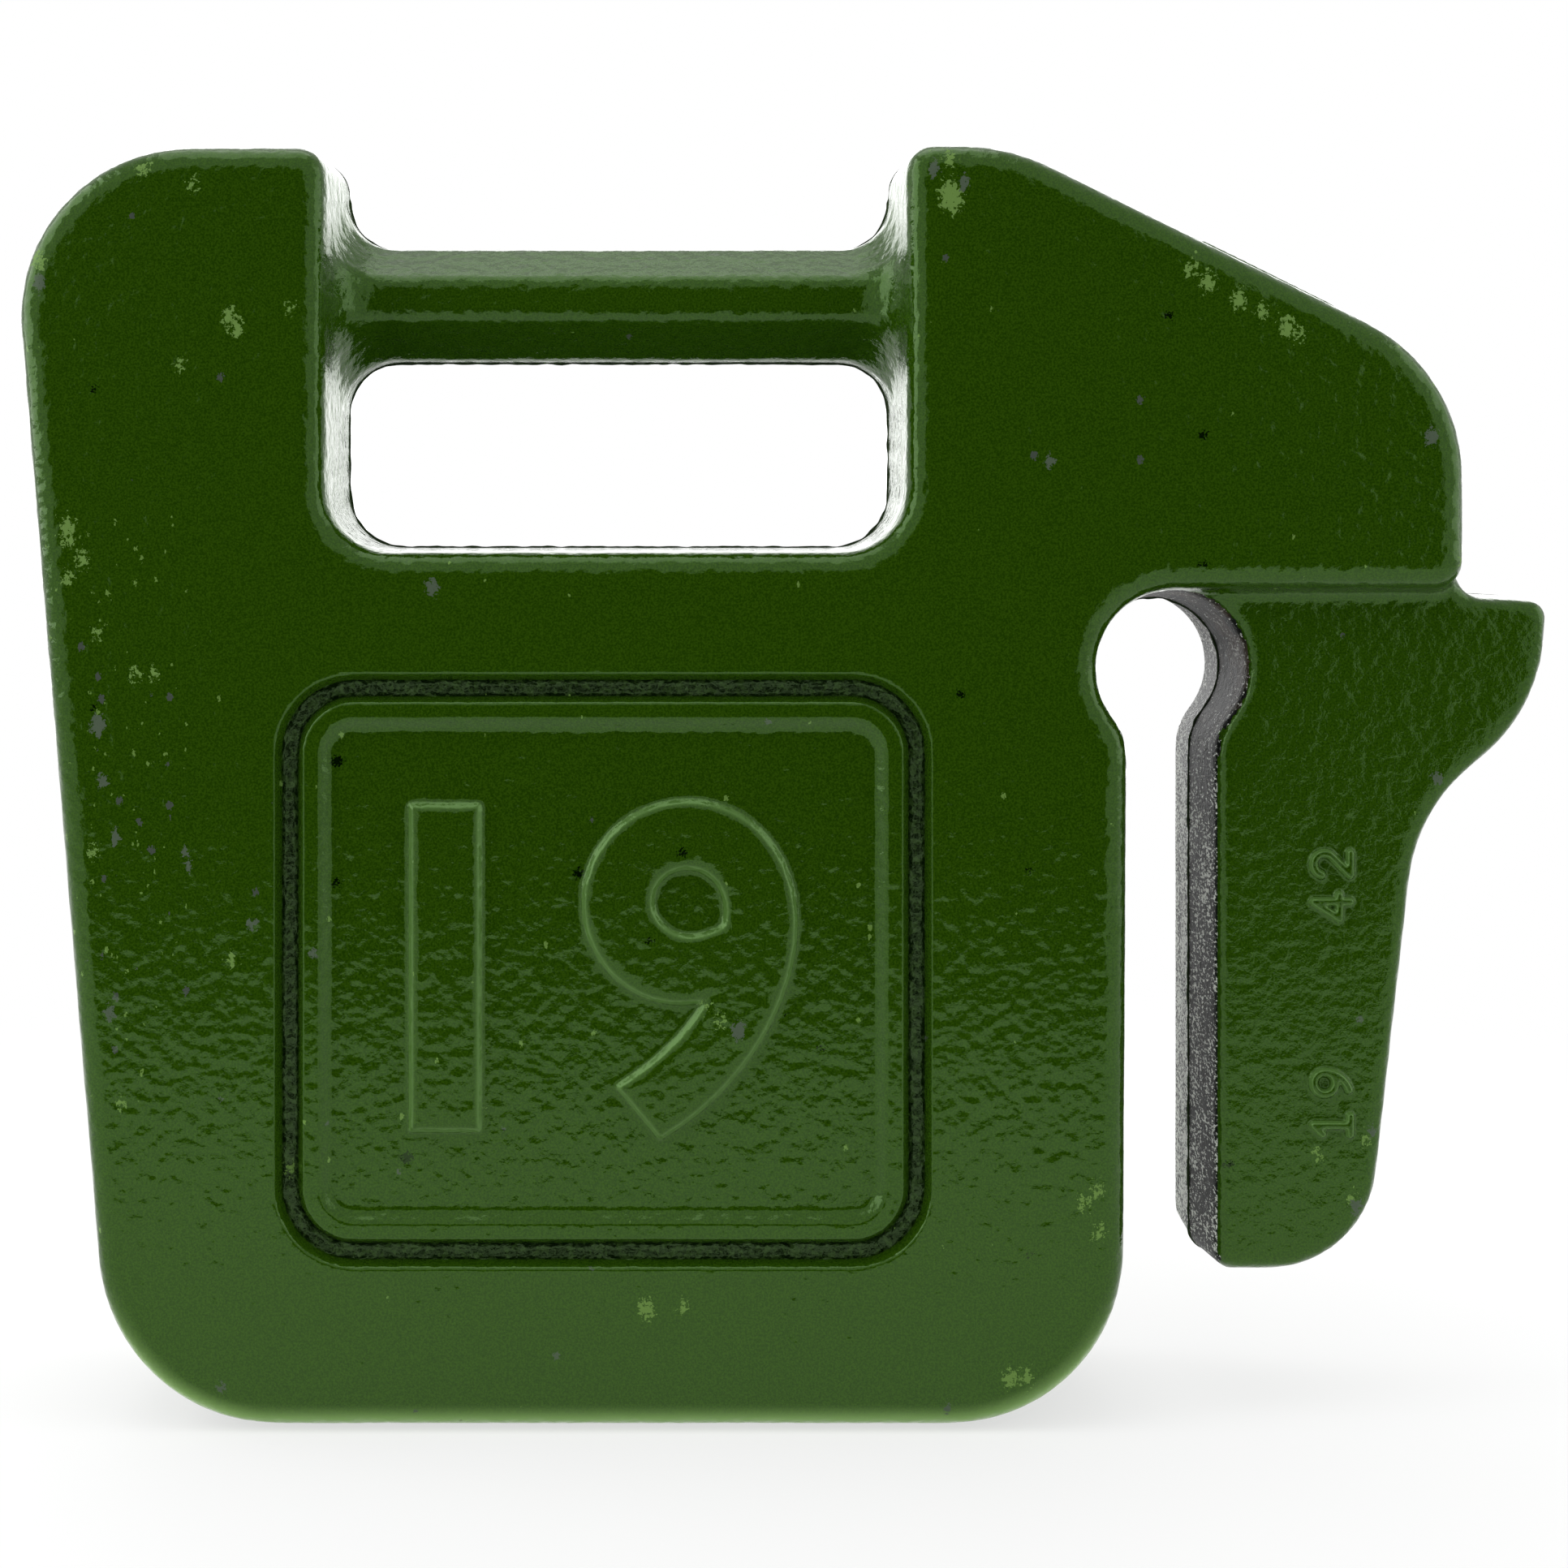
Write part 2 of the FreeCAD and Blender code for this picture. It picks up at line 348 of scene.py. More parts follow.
def alongStroke(stroke, size):
    # points close together along the stroke
    for (a0, b0), (a1, b1) in zip(stroke, stroke[1:]):
        count = max(math.ceil(math.hypot(a1 - a0, b1 - b0) * size / armNumbers["step"]), 1)
        for i in range(count + 1):
            yield a0 + (a1 - a0) * i / count, b0 + (b1 - b0) * i / count


def armNumberMesh():
    # every stroke is a row of short cones, turned to read up the arm
    bm = bmesh.new()
    size = armNumbers["height"]
    stand, sink, lean = armNumbers["stand"], armNumbers["sink"], armNumbers["lean"]
    depth = stand + sink
    y = places["armFront"] - stand + depth / 2
    outward = Matrix.Rotation(math.radians(90), 4, "X")
    for digit, z in armNumbers["row"]:
        for stroke in strokes[digit]:
            for a, b in alongStroke(stroke, size):
                x = armMarks["x"] - (b - 0.5) * size
                place = (x, y, z + (a - armNumbers["middleShare"]) * size)
                bmesh.ops.create_cone(
                    bm, cap_ends=True, cap_tris=True, segments=armNumbers["sides"],
                    depth=depth,
                    radius1=armNumbers["foot"] + sink * lean,
                    radius2=armNumbers["foot"] - stand * lean,
                    matrix=Matrix.Translation(place) @ outward,
                )
    mesh = bpy.data.meshes.new("marks")
    bm.to_mesh(mesh)
    bm.free()
    return mesh


def makePatch(name, area, raised):
    piece = linkObject(name, cadCasting.data.copy())
    reshape(piece, weld)
    for side in (-1, 1):
        across = area["x"] + side * (area["halfWidth"] + area["spare"])
        up = area["z"] + side * (area["halfHeight"] + area["spare"])
        cutAway(piece, (across, 0, 0), (side, 0, 0), fill=True)
        cutAway(piece, (0, 0, up), (0, 0, side), fill=True)
    cutAway(piece, (0, area["back"], 0), (0, 1, 0), fill=True)
    reshape(piece, lambda bm: bm.from_mesh(raised))
    softMesh(piece, area["voxel"], area["smoothSteps"])
    dropFaces(piece, lambda c: c.y > area["keep"] or beyond(area, c.x, c.z) > patches["overlap"])
    for vertex in piece.data.vertices:
        vertex.co.y += patches["sunk"]
    return piece


def report(stage, pieces):
    print(stage + ":", ", ".join(f"{p.name} {len(p.data.polygons)} faces" for p in pieces))


skins = makeSkin()
report("skin", skins)
panelSkin = makePatch("casting_panel", panel, panelNumberMesh())
report("panel", [panelSkin])
marksSkin = makePatch("casting_marks", armMarks, armNumberMesh())
report("arm numbers", [marksSkin])
skins += [panelSkin, marksSkin]
for piece in skins:
    smoothShade(piece.data)


# small helpers for shader nodes
def newGroup(name, inputs, output):
    group = bpy.data.node_groups.new(name, "ShaderNodeTree")
    for label, kind in inputs.items():
        group.interface.new_socket(label, in_out="INPUT", socket_type=kind)
    group.interface.new_socket(output, in_out="OUTPUT", socket_type="NodeSocketFloat")
    given = group.nodes.new("NodeGroupInput").outputs
    return group, given, group.nodes.new("NodeGroupOutput").inputs[output]


def placed(tree, group, **values):
    node = tree.nodes.new("ShaderNodeGroup")
    node.node_tree = group
    for label, value in values.items():
        if isinstance(value, bpy.types.NodeSocket):
            tree.links.new(value, node.inputs[label])
        else:
            node.inputs[label].default_value = value
    return node.outputs[0]


def mathNode(tree, operation, *values):
    node = tree.nodes.new("ShaderNodeMath")
    node.operation = operation
    for socket, value in zip(node.inputs, values):
        if isinstance(value, (int, float)):
            socket.default_value = value
        else:
            tree.links.new(value, socket)
    return node.outputs[0]


def chained(tree, operation, values):
    result = values[0]
    for value in values[1:]:
        result = mathNode(tree, operation, result, value)
    return result


def times(tree, *values):
    return chained(tree, "MULTIPLY", values)


def plus(tree, *values):
    return chained(tree, "ADD", values)


def largest(tree, *values):
    return chained(tree, "MAXIMUM", values)


def below(tree, value, limit):
    return mathNode(tree, "LESS_THAN", value, limit)


def absolute(tree, value):
    return mathNode(tree, "ABSOLUTE", value)


def centred(tree, fac):
    # noise runs from 0 to 1, and this from -0.5 to 0.5
    return mathNode(tree, "SUBTRACT", fac, 0.5)


def ramp(tree, value, ends):
    # 0 at the first end, 1 at the second
    node = tree.nodes.new("ShaderNodeMapRange")
    node.interpolation_type = "SMOOTHSTEP"
    tree.links.new(value, node.inputs["Value"])
    node.inputs["From Min"].default_value, node.inputs["From Max"].default_value = ends
    return node.outputs["Result"]


def noiseAt(tree, place, kind):
    # a noise is written as its scale, detail and roughness
    node = tree.nodes.new("ShaderNodeTexNoise")
    for label, value in zip(("Scale", "Detail", "Roughness"), kind):
        node.inputs[label].default_value = value
    tree.links.new(place, node.inputs["Vector"])
    return node.outputs["Fac"]


def mixColour(tree, mask, first, second):
    node = tree.nodes.new("ShaderNodeMix")
    node.data_type = "RGBA"
    tree.links.new(mask, node.inputs["Factor"])
    for socket, value in ((node.inputs[6], first), (node.inputs[7], second)):
        if isinstance(value, tuple):
            socket.default_value = value + (1.0,)
        else:
            tree.links.new(value, socket)
    return node.outputs[2]


def split(tree, vector):
    node = tree.nodes.new("ShaderNodeSeparateXYZ")
    tree.links.new(vector, node.inputs[0])
    return node.outputs


def stretched(tree, place, scale):
    node = tree.nodes.new("ShaderNodeVectorMath")
    node.operation = "MULTIPLY"
    tree.links.new(place, node.inputs[0])
    node.inputs[1].default_value = scale
    return node.outputs[0]


def readMark(tree, name):
    node = tree.nodes.new("ShaderNodeAttribute")
    node.attribute_name = name
    return node.outputs["Fac"]


def newMaterial(name):
    material = bpy.data.materials.new(name)
    material.use_nodes = True
    tree = material.node_tree
    place = tree.nodes.new("ShaderNodeTexCoord").outputs["Object"]
    return material, tree, tree.nodes["Principled BSDF"], place


# the relief of cast iron, which every finish of the casting has
castGrain = {
    "wave": (420.0, 1.0, 0.4),     # slow waves under the paint
    "grain": (1500.0, 2.0, 0.6),   # the fine grain of the sand
}


def makeCastGrain():
    group, given, out = newGroup(
        "castGrain",
        {"Place": "NodeSocketVector", "Wave": "NodeSocketFloat", "Grain": "NodeSocketFloat"},
        "Height",
    )
    wave = centred(group, noiseAt(group, given["Place"], castGrain["wave"]))
    grain = centred(group, noiseAt(group, given["Place"], castGrain["grain"]))
    height = plus(group, times(group, wave, given["Wave"]), times(group, grain, given["Grain"]))
    group.links.new(height, out)
    return group


castGrainGroup = makeCastGrain()


def addRelief(tree, shader, **values):
    bump = tree.nodes.new("ShaderNodeBump")
    bump.inputs["Strength"].default_value = 1.0
    bump.inputs["Distance"].default_value = 1.0
    tree.links.new(placed(tree, castGrainGroup, **values), bump.inputs["Height"])
    tree.links.new(bump.outputs["Normal"], shader.inputs["Normal"])


# knocks in the paint of the front: x, z and radius, in millimetres
knocks = {
    "bare": [
        (-140.9, 217.1, 1.4), (27.9, 238.4, 1.2), (33.4, 235.9, 1.2), (121.7, 188.0, 1.4),
        (-129.7, 133.7, 1.7), (-128.8, 123.2, 1.1), (-126.4, 112.5, 1.2), (-113.2, 109.7, 0.9),
        (-112.7, 107.2, 0.8), (-100.5, 96.1, 1.1), (-89.2, 90.6, 0.8), (-127.6, 79.4, 1.2),
        (-66.7, 159.6, 1.4), (30.3, 5.0, 0.8), (-106.5, 8.9, 0.9), (49.7, 183.3, 1.1),
        (124.9, 123.1, 1.1), (112.2, 55.9, 1.1), (109.1, 41.0, 1.4), (-9.0, 76.0, 1.5),
    ],
    "rubbed": [
        (-141.2, 221.5, 1.4), (-104.8, 210.4, 1.4), (-103.6, 208.4, 1.2), (-114.0, 201.7, 0.8),
        (-93.6, 212.2, 0.6), (-112.1, 235.6, 0.8), (-121.2, 238.7, 0.9), (31.1, 233.3, 2.4),
        (30.5, 240.5, 1.1), (76.2, 219.6, 1.1), (79.5, 217.0, 1.4), (85.4, 213.7, 1.4),
        (89.8, 211.7, 1.1), (94.3, 208.8, 1.5), (96.9, 207.5, 0.9), (-135.5, 171.0, 1.4),
        (-135.2, 168.6, 1.1), (-132.6, 164.9, 1.1), (-135.4, 161.4, 0.9), (-129.9, 151.0, 0.8),
        (-122.7, 143.2, 0.8), (-119.2, 143.2, 0.8), (-130.6, 109.7, 0.8), (-93.9, 49.6, 0.8),
        (-26.4, 23.7, 1.5), (-19.4, 23.9, 0.8), (42.2, 10.7, 1.4), (45.4, 10.8, 1.0),
        (-15.1, 80.6, 0.6), (-12.4, 78.2, 0.7), (-125.4, 62.1, 0.6), (56.2, 43.9, 1.1),
        (58.9, 46.2, 0.9), (58.9, 38.0, 1.0), (-104.5, 89.3, 0.8), (128.5, 165.2, 0.8),
        (111.3, 54.7, 0.8), (108.5, 42.6, 0.9), (102.0, 51.4, 0.6),
    ],
}
knockShape = {
    "narrow": 1.2,             # a knock is a little taller than wide
    "tall": 0.85,
    "far": 5.0,                # millimetres, also on all that doesn't face the front
    "turned": -0.5,            # a face looks less to the front than this
    "noise": (1000.0, 3.0, 0.75),
    "reach": 8.0,              # how far the noise moves its edge, in millimetres
    "edge": (0.1, -0.1),
    "bareRagged": 0.6,
    "rubbedRagged": 1.1,
}


def markKnocks(mesh):
    # each point keeps its distance from the nearest knock's edge, in millimetres
    points = pointsOf(mesh) / mm
    facing = np.array([v.normal.y for v in mesh.vertices])
    for kind, row in knocks.items():
        nearest = np.full(len(points), knockShape["far"])
        for x, z, radius in row:
            aside = (points[:, 0] - x) * knockShape["narrow"]
            above = (points[:, 2] - z) * knockShape["tall"]
            nearest = np.minimum(nearest, np.hypot(aside, above) - radius)
        nearest[facing > knockShape["turned"]] = knockShape["far"]
        mark = mesh.attributes.new(kind, "FLOAT", "POINT")
        mark.data.foreach_set("value", nearest.astype(np.float32))


def makeKnock():
    # a ragged patch round a knock, broken up by noise
    group, given, out = newGroup(
        "paintKnock",
        {"Place": "NodeSocketVector", "Distance": "NodeSocketFloat", "Ragged": "NodeSocketFloat"},
        "Mask",
    )
    coarse = centred(group, noiseAt(group, given["Place"], knockShape["noise"]))
    ragged = times(group, coarse, given["Ragged"], knockShape["reach"])
    edge = plus(group, given["Distance"], ragged)
    group.links.new(ramp(group, edge, knockShape["edge"]), out)
    return group


# tiny specks, each in a cell of its own
speckShape = {
    "least": 0.05,             # sizes, in shares of a cell
    "spread": 0.15,
    "noise": (2400.0, 2.0, 0.6),
    "ragged": 0.55,
}


def makeSpecks():
    # Scale is that of the cells, and Amount the share of them that hold a speck
    group, given, out = newGroup(
        "scatteredSpecks",
        {"Place": "NodeSocketVector", "Scale": "NodeSocketFloat", "Amount": "NodeSocketFloat"},
        "Mask",
    )
    cells = group.nodes.new("ShaderNodeTexVoronoi")
    group.links.new(given["Place"], cells.inputs["Vector"])
    group.links.new(given["Scale"], cells.inputs["Scale"])
    chance, share, _ = split(group, cells.outputs["Color"])
    edge = centred(group, noiseAt(group, given["Place"], speckShape["noise"]))
    radius = plus(
        group,
        times(group, share, speckShape["spread"]),
        speckShape["least"],
        times(group, edge, speckShape["ragged"]),
    )
    chosen = below(group, chance, given["Amount"])
    inSpeck = below(group, cells.outputs["Distance"], radius)
    group.links.new(times(group, chosen, inSpeck), out)
    return group


# the parting line shows as a thin dark line in both finishes: painted shade along the seam
seam = {
    "colour": (0.003, 0.004, 0.002),
    "enamelEdge": (0.42 * mm, 0.2 * mm),
    "ironEdge": (0.4 * mm, 0.2 * mm),
    "wander": 0.5 * mm,
    "noise": (500.0, 2.0, 0.6),
}

# the green paint, what has become of it, and the light and shade painted into it
enamel = {
    "paint": (0.0270, 0.0720, 0.0024),
    "paintDark": (0.0115, 0.0400, 0.0004),
    # painted shade: the groove is painted near black where it lies in shade; the pits take the same
    # dark
    "grooveShadeAndPits": (0.0015, 0.0060, 0.0003),
    "groovePale": (0.020, 0.042, 0.009),
    "bareIron": (0.058, 0.074, 0.056),
    "lowEdgeReflectionColour": (0.22, 0.38, 0.105),       # painted reflection: the lower rounding is painted paler, as if it reflected the bright table
    "rubbed": (0.12, 0.215, 0.045),
    "numberSideHighlightColour": (0.07, 0.15, 0.03),      # painted highlight on the sides of the raised numbers
    "tint": (0.6, 1.0, 0.42, 1.0),         # of its shine
    "mottle": (2600.0, 2.0, 0.7),
    "mottleEdge": (0.35, 0.65),
    "lumps": (900.0, 2.0, 0.6),            # of sand in the groove
    "lumpsEdge": (0.46, 0.62),
    "density": 1.55,                       # index of refraction
    "roughness": 0.06,
    "knockRoughness": 0.55,                # added where the paint is knocked or rubbed
    "grooveRoughness": 0.3,                # share of it in the groove
    "wave": 0.27 * mm,                     # heights of the relief
    "armWave": 1.15,                       # the arm is cast a little rougher
    "armGrain": 0.05 * mm,
    "gripWave": 0.35,                      # added to the wave on the grip and its roots
    "gripGrain": 0.03 * mm,
    "grain": 0.040 * mm,
    "wallGrain": 0.030 * mm,
    "grooveGrain": 0.16 * mm,
    "grooveWave": 2.5,                     # added to the wave in the groove
}

# specks in the enamel: scale and stretch of their cells, and the share that hold one
enamelSpecks = {
    "rubbed": {"scale": 440.0, "stretch": (1.0, 1.0, 0.7)},
    "bare": {"scale": 300.0, "stretch": (1.0, 1.0, 0.83)},
    "pits": {"scale": 170.0, "stretch": (0.9, 1.0, 1.0)},
    "amount": 0.03,
    "stripAmount": 0.9,        # added in the knocked strip on the left
    "bareShare": 0.5,          # bare ones are half as many
    "pitAmount": 0.035,
}

# areas of the enamel with soft edges: a mask is 0 at the first end and 1 at the second
areas = {
    "wall": (0.75, 0.35),      # of how squarely a face looks along the depth
    "strip": {"left": (-108 * mm, -122 * mm), "low": (55 * mm, 75 * mm), "high": (180 * mm, 165 * mm)},
    "groove": {"depth": (-25.05 * mm, -24.5 * mm), "back": -20 * mm},
    # painted reflection on the lower rounding of the faces, where it looks down
    "lowEdgeReflection": {"down": (0.0, -0.7), "height": (35 * mm, 15 * mm), "depth": (18 * mm, 22 * mm),
                "facing": (0.2, 0.45)},
    "marks": {"left": (97.5 * mm, 98.0 * mm), "right": 111.5 * mm, "top": 115 * mm,
              "depth": (-20.6 * mm, -20.9 * mm)},
    "number": {"halfWidth": 42 * mm, "halfHeight": 33 * mm, "depth": (-25.5 * mm, -25.9 * mm)},
    "numberSides": (0.97, 0.75),
    "arm": {"left": (80 * mm, 86 * mm), "top": (160 * mm, 154 * mm)},
    "grip": {"floor": (158 * mm, 162 * mm), "left": (-92 * mm, -88 * mm),
             "right": (28 * mm, 24 * mm), "depth": (24.5 * mm, 23.5 * mm)},
}


def grooveMask(tree, across, up, y):
    # the groove round the panel's field
    inPanel = times(tree, below(tree, across, panel["halfWidth"]), below(tree, up, panel["halfHeight"]))
    area = areas["groove"]
    deep = times(tree, ramp(tree, y, area["depth"]), below(tree, y, area["back"]))
    return times(tree, inPanel, deep)


# where the painted reflection of the bright table lies on the lower rounding
def lowEdgeReflectionMask(tree, down, z, depth, facing):
    area = areas["lowEdgeReflection"]
    return times(
        tree, ramp(tree, down, area["down"]), ramp(tree, z, area["height"]),
        ramp(tree, depth, area["depth"]), ramp(tree, facing, area["facing"]),
    )


def numberSideHighlightMask(tree, x, y, z, across, up, facing):
    # the sides of the raised numbers, on the arm and in the panel, where a highlight is painted
    area = areas["marks"]
    onMarks = times(
        tree, ramp(tree, x, area["left"]), ramp(tree, y, area["depth"]),
        below(tree, z, area["top"]), below(tree, x, area["right"]),
    )
    area = areas["number"]
    onNumber = times(
        tree, below(tree, across, area["halfWidth"]), below(tree, up, area["halfHeight"]),
        ramp(tree, y, area["depth"]),
    )
    return times(tree, largest(tree, onMarks, onNumber), ramp(tree, facing, areas["numberSides"]))


def speckMask(tree, group, place, kind, amount):
    cells = enamelSpecks[kind]
    place = stretched(tree, place, cells["stretch"])
    return placed(tree, group, Place=place, Scale=cells["scale"], Amount=amount)


def makeEnamel():
    material, tree, shader, place = newMaterial("greenEnamel")
    shader.inputs["IOR"].default_value = enamel["density"]
    shader.inputs["Specular Tint"].default_value = enamel["tint"]
    x, y, z = split(tree, place)
    _, forward, upward = split(tree, tree.nodes.new("ShaderNodeNewGeometry").outputs["Normal"])
    facing = absolute(tree, forward)
    depth = absolute(tree, y)
    across = absolute(tree, mathNode(tree, "SUBTRACT", x, panel["x"]))
    up = absolute(tree, mathNode(tree, "SUBTRACT", z, panel["z"]))

    # knocks and specks
    knock = makeKnock()
    bare = placed(
        tree, knock, Place=place, Distance=readMark(tree, "bare"), Ragged=knockShape["bareRagged"]
    )
    rubbed = placed(
        tree, knock, Place=place, Distance=readMark(tree, "rubbed"), Ragged=knockShape["rubbedRagged"]
    )
    strip = times(
        tree, ramp(tree, x, areas["strip"]["left"]),
        ramp(tree, z, areas["strip"]["low"]), ramp(tree, z, areas["strip"]["high"]),
    )
    amount = plus(tree, times(tree, strip, enamelSpecks["stripAmount"]), enamelSpecks["amount"])
    fewer = times(tree, amount, enamelSpecks["bareShare"])
    speck = makeSpecks()
    rubbedSpecks = speckMask(tree, speck, place, "rubbed", amount)
    bareSpecks = speckMask(tree, speck, place, "bare", fewer)
    pits = speckMask(tree, speck, place, "pits", enamelSpecks["pitAmount"])

    # areas
    wander = times(tree, centred(tree, noiseAt(tree, place, seam["noise"])), seam["wander"])
    parting = ramp(tree, absolute(tree, plus(tree, y, wander)), seam["enamelEdge"])
    groove = grooveMask(tree, across, up, y)
    lowEdgeReflection = lowEdgeReflectionMask(tree, upward, z, depth, facing)
    numberSideHighlight = numberSideHighlightMask(tree, x, y, z, across, up, facing)
    onArm = times(tree, ramp(tree, x, areas["arm"]["left"]), ramp(tree, z, areas["arm"]["top"]))
    grip = areas["grip"]
    onGrip = times(
        tree, ramp(tree, z, grip["floor"]), ramp(tree, x, grip["left"]),
        ramp(tree, x, grip["right"]), ramp(tree, depth, grip["depth"]),
    )

    # colour
    mottle = ramp(tree, noiseAt(tree, place, enamel["mottle"]), enamel["mottleEdge"])
    lumps = ramp(tree, noiseAt(tree, place, enamel["lumps"]), enamel["lumpsEdge"])
    grooveShadeAndSand = mixColour(tree, lumps, enamel["grooveShadeAndPits"], enamel["groovePale"])
    colour = mixColour(tree, mottle, enamel["paint"], enamel["paintDark"])
    colour = mixColour(tree, pits, colour, enamel["grooveShadeAndPits"])
    # painted reflection: the lower rounding is painted paler where it looks down to the bright table
    colour = mixColour(tree, lowEdgeReflection, colour, enamel["lowEdgeReflectionColour"])
    # painted highlight: the sides of the raised numbers are painted paler
    colour = mixColour(tree, numberSideHighlight, colour, enamel["numberSideHighlightColour"])
    # painted shade: the groove is painted dark, broken by paler lumps of sand
    colour = mixColour(tree, groove, colour, grooveShadeAndSand)
    colour = mixColour(tree, largest(tree, rubbed, rubbedSpecks), colour, enamel["rubbed"])
    colour = mixColour(tree, largest(tree, bare, bareSpecks), colour, enamel["bareIron"])
    # painted shade along the parting line
    colour = mixColour(tree, parting, colour, seam["colour"])
    tree.links.new(colour, shader.inputs["Base Color"])

    # roughness
    dull = largest(tree, bare, rubbed, parting, times(tree, groove, enamel["grooveRoughness"]))
    rough = plus(tree, times(tree, dull, enamel["knockRoughness"]), enamel["roughness"])
    tree.links.new(rough, shader.inputs["Roughness"])

    # relief
    grain = plus(
        tree,
        times(tree, ramp(tree, facing, areas["wall"]), enamel["wallGrain"]),
        enamel["grain"],
        times(tree, groove, enamel["grooveGrain"]),
        times(tree, onArm, enamel["armGrain"]),
        times(tree, onGrip, enamel["gripGrain"]),
    )
    wave = plus(
        tree,
        times(tree, onArm, enamel["armWave"] - 1),
        1.0,
        times(tree, onGrip, enamel["gripWave"]),
        times(tree, groove, enamel["grooveWave"]),
    )
    wave = times(tree, wave, enamel["wave"])
    addRelief(tree, shader, Place=place, Wave=wave, Grain=grain)
    return material


# walls of the keyhole, where the bar has rubbed the paint thin; their pale streaks are a painted
# reflection of the bright room, and the far half is painted lighter as a sheen
wornWallsAndSheen = {
    "dark": (0.004, 0.005, 0.004),
    # painted reflection: this pale colour of the streaks stands for the bright room mirrored in the
    # walls
    "light": (0.72, 0.74, 0.69),
    "stain": (0.060, 0.042, 0.028),
    "roughness": 0.45,
    "shine": 0.12,
    "streak": (1900.0, 2.0, 0.7),
    "streakStretch": (1, 0.4, 0.9),
    "patch": (120.0, 3.0, 0.6),
    "patchShare": 0.35,        # how much the patches shift the streaks
    "lightFrom": (0.53, 0.62),
    # painted sheen: the far half of the walls is painted lighter, as grazing light makes it look
    "farHalf": (-1 * mm, 1 * mm),
    "farSheen": 0.09,
    "bulb": (115 * mm, 140 * mm),
    "bulbDarker": 0.07,
    "stainPatch": (0.45, 0.6),
    "stainHeight": (125 * mm, 145 * mm),
    "stainShare": 0.6,
    "wave": 0.2 * mm,
    "grain": 0.18 * mm,
    "edge": 19.3 * mm,         # only walls within this of the middle plane are worn
    "steep": 0.6,              # a wall looks less along the depth than this
    "reach": 2.0 * mm,         # how far from the drawn slot a face may lie
}


def makeWornIronAndSheen():
    material, tree, shader, place = newMaterial("wornIronAndSheen")
    shader.inputs["Roughness"].default_value = wornWallsAndSheen["roughness"]
    shader.inputs["Specular IOR Level"].default_value = wornWallsAndSheen["shine"]
    _, y, z = split(tree, place)
    streak = noiseAt(tree, stretched(tree, place, wornWallsAndSheen["streakStretch"]), wornWallsAndSheen["streak"])
    patch = noiseAt(tree, place, wornWallsAndSheen["patch"])
    level = plus(
        tree,
        streak,
        times(tree, centred(tree, patch), wornWallsAndSheen["patchShare"]),
        # painted sheen on the far half
        times(tree, ramp(tree, y, wornWallsAndSheen["farHalf"]), wornWallsAndSheen["farSheen"]),
        times(tree, ramp(tree, z, wornWallsAndSheen["bulb"]), -wornWallsAndSheen["bulbDarker"]),
    )
    light = ramp(tree, level, wornWallsAndSheen["lightFrom"])
    stain = times(
        tree, ramp(tree, patch, wornWallsAndSheen["stainPatch"]), ramp(tree, z, wornWallsAndSheen["stainHeight"]),
        wornWallsAndSheen["stainShare"],
    )
    parting = ramp(tree, absolute(tree, y), seam["ironEdge"])
    # painted reflection: pale streaks stand for the bright room mirrored at grazing angles
    colour = mixColour(tree, light, wornWallsAndSheen["dark"], wornWallsAndSheen["light"])
    colour = mixColour(tree, stain, colour, wornWallsAndSheen["stain"])
    # painted shade along the parting line
    colour = mixColour(tree, parting, colour, seam["colour"])
    tree.links.new(colour, shader.inputs["Base Color"])
    addRelief(tree, shader, Place=place, Wave=wornWallsAndSheen["wave"], Grain=wornWallsAndSheen["grain"])
    return material


def inKeyhole(centre, normal):
    if abs(centre.y) > wornWallsAndSheen["edge"] or abs(normal.y) > wornWallsAndSheen["steep"]:
        return False
    aside = centre.x - places["slotX"]
    above = centre.z - places["bulbZ"]
    if math.hypot(aside, above) < places["bulbRadius"] + wornWallsAndSheen["reach"]:
        return True
    return above < 0 and abs(aside) < places["slotHalf"] + wornWallsAndSheen["reach"]


greenEnamel = makeEnamel()
wornIronAndSheen = makeWornIronAndSheen()
for piece in skins:
    markKnocks(piece.data)
    piece.data.materials.clear()
    piece.data.materials.append(greenEnamel)
    piece.data.materials.append(wornIronAndSheen)
    for polygon in piece.data.polygons:
        polygon.material_index = 1 if inKeyhole(polygon.center, polygon.normal) else 0
    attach(piece, "root")
    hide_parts("weight_casting")
print("enamel and worn iron: on", len(skins), "pieces")

# the table, the room and the lamps round it
studio = {
    "floorNear": -0.42,
    "floorFar": 2.0,
    "floorSide": 2.0,
    "floorColour": (0.93, 0.93, 0.93),
    "floorRoughness": 0.9,
    "floorOwn": 0.65,          # share of the floor's white that is its own, near the weight
    "floorFade": (0.2, 0.5),   # and from here to here it grows to 1
    "floorInShine": 0.9,       # how white the floor is in reflections
    "room": 0.8,
    "darkCone": (0.88, 0.914), # cosines of the dark cone on the camera's side
}
# soft boxes: the height they aim at over the middle of the weight, width and height, brightness
lamps = {
    "lampLeft": {"place": (-1.0, -0.1, 0.6), "aim": 0.12, "size": (1.0, 1.0), "level": 1.9},
    "lampRight": {"place": (1.05, -0.1, 0.5), "aim": 0.12, "size": (0.9, 0.9), "level": 1.0},
    "lampTop": {"place": (-0.1, 0.0, 1.2), "aim": 0.12, "size": (1.1, 0.8), "level": 1.1},
    "lampBack": {"place": (0.0, 1.4, 0.5), "aim": 0.2, "size": (1.8, 1.1), "level": 1.5},
}
camera = {
    "place": (-0.0205, -0.4743, 0.1565),
    "sensor": 36,              # millimetres, as the lens
    "lens": 54.5,
    "shift": (0.068, -0.1148), # frames the weight, with the camera level
}


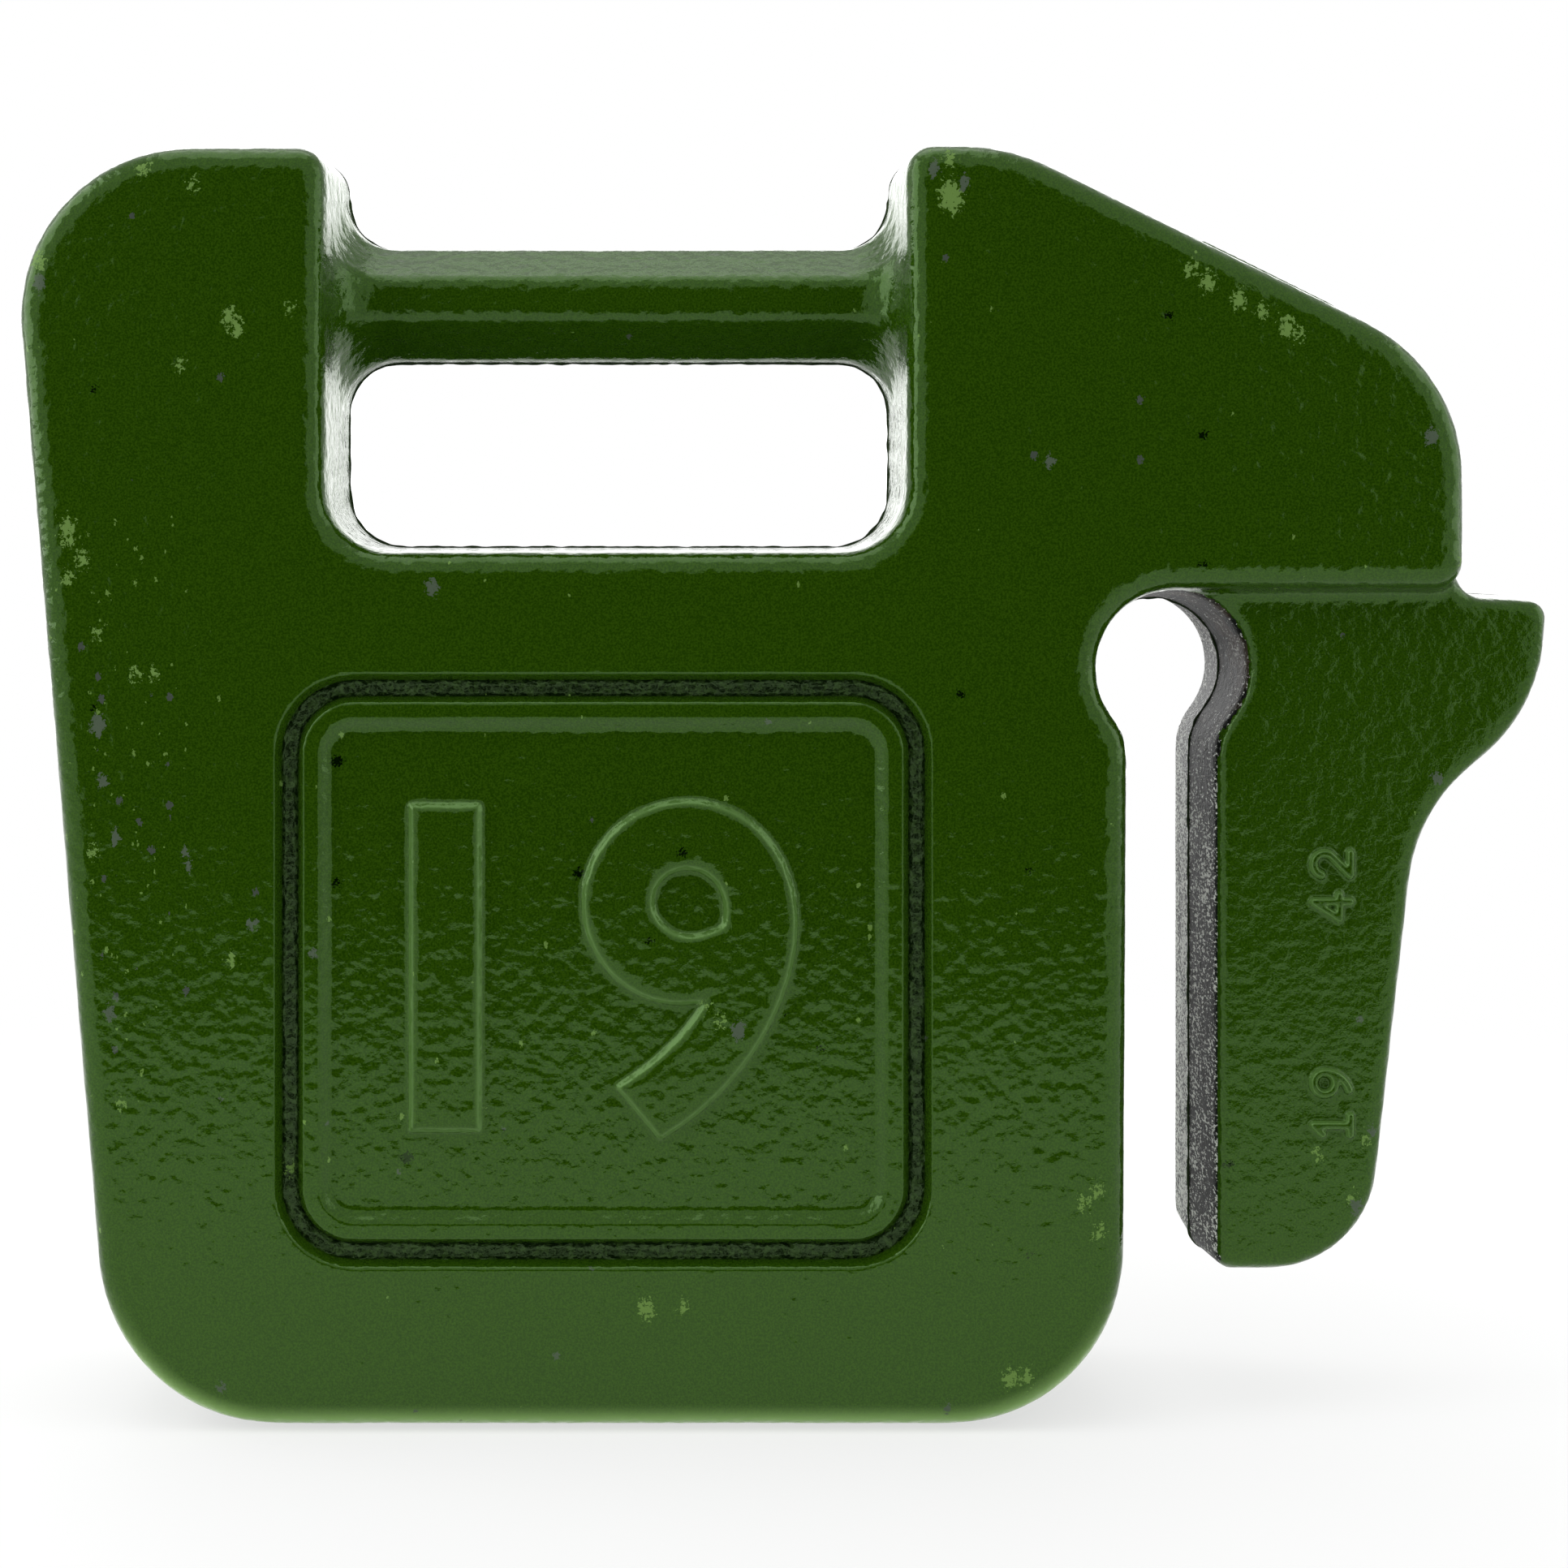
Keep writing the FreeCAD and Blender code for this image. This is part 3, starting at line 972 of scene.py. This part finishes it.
def makeFloor():
    mesh = bpy.data.meshes.new("floor")
    side, near, far = studio["floorSide"], studio["floorNear"], studio["floorFar"]
    corners = [(-side, near, 0), (side, near, 0), (side, far, 0), (-side, far, 0)]
    mesh.from_pydata(corners, [], [(0, 1, 2, 3)])
    material, tree, shader, place = newMaterial("paleTable")
    shader.inputs["Base Color"].default_value = studio["floorColour"] + (1.0,)
    shader.inputs["Roughness"].default_value = studio["floorRoughness"]
    shader.inputs["Specular IOR Level"].default_value = 0.0
    distance = tree.nodes.new("ShaderNodeVectorMath")
    distance.operation = "LENGTH"
    tree.links.new(place, distance.inputs[0])
    away = ramp(tree, distance.outputs["Value"], studio["floorFade"])
    own = plus(tree, times(tree, away, 1.0 - studio["floorOwn"]), studio["floorOwn"])
    path = tree.nodes.new("ShaderNodeLightPath").outputs
    direct = times(tree, own, path["Is Camera Ray"])
    mask = largest(tree, direct, times(tree, path["Is Glossy Ray"], studio["floorInShine"]))
    white = tree.nodes.new("ShaderNodeEmission")
    mix = tree.nodes.new("ShaderNodeMixShader")
    tree.links.new(mask, mix.inputs["Fac"])
    tree.links.new(shader.outputs["BSDF"], mix.inputs[1])
    tree.links.new(white.outputs["Emission"], mix.inputs[2])
    tree.links.new(mix.outputs["Shader"], tree.nodes["Material Output"].inputs["Surface"])
    mesh.materials.append(material)
    floor = linkObject("floor", mesh)


def makeWorld():
    world = bpy.data.worlds.new("studioRoom")
    bpy.context.scene.world = world
    world.use_nodes = True
    tree = world.node_tree
    background = tree.nodes["Background"].inputs
    direction = split(tree, tree.nodes.new("ShaderNodeTexCoord").outputs["Generated"])
    dark = ramp(tree, times(tree, direction["Y"], -1.0), studio["darkCone"])
    light = times(tree, mathNode(tree, "SUBTRACT", 1.0, dark), studio["room"])
    path = tree.nodes.new("ShaderNodeLightPath").outputs
    tree.links.new(largest(tree, light, path["Is Camera Ray"]), background["Strength"])
    background["Color"].default_value = (1, 1, 1, 1)


def addLamp(name, lamp):
    width, height = lamp["size"]
    data = bpy.data.lights.new(name, "AREA")
    data.shape = "RECTANGLE"
    data.size = width
    data.size_y = height
    data.energy = lamp["level"] * math.pi * width * height
    piece = linkObject(name, data)
    piece.location = lamp["place"]
    piece.rotation_mode = "QUATERNION"
    way = Vector((0, 0, lamp["aim"])) - Vector(lamp["place"])
    piece.rotation_quaternion = way.to_track_quat("-Z", "Y")


def makeCamera():
    data = bpy.data.cameras.new("camera")
    data.sensor_width = camera["sensor"]
    data.lens = camera["lens"]
    data.shift_x, data.shift_y = camera["shift"]
    piece = linkObject("camera", data)
    piece.location = camera["place"]
    piece.rotation_euler = (math.radians(90), 0, 0)
    bpy.context.scene.camera = piece


makeFloor()
makeWorld()
for name, lamp in lamps.items():
    addLamp(name, lamp)
makeCamera()
bpy.context.scene.view_settings.view_transform = "Standard"
print("studio:", len(lamps), "lamps")
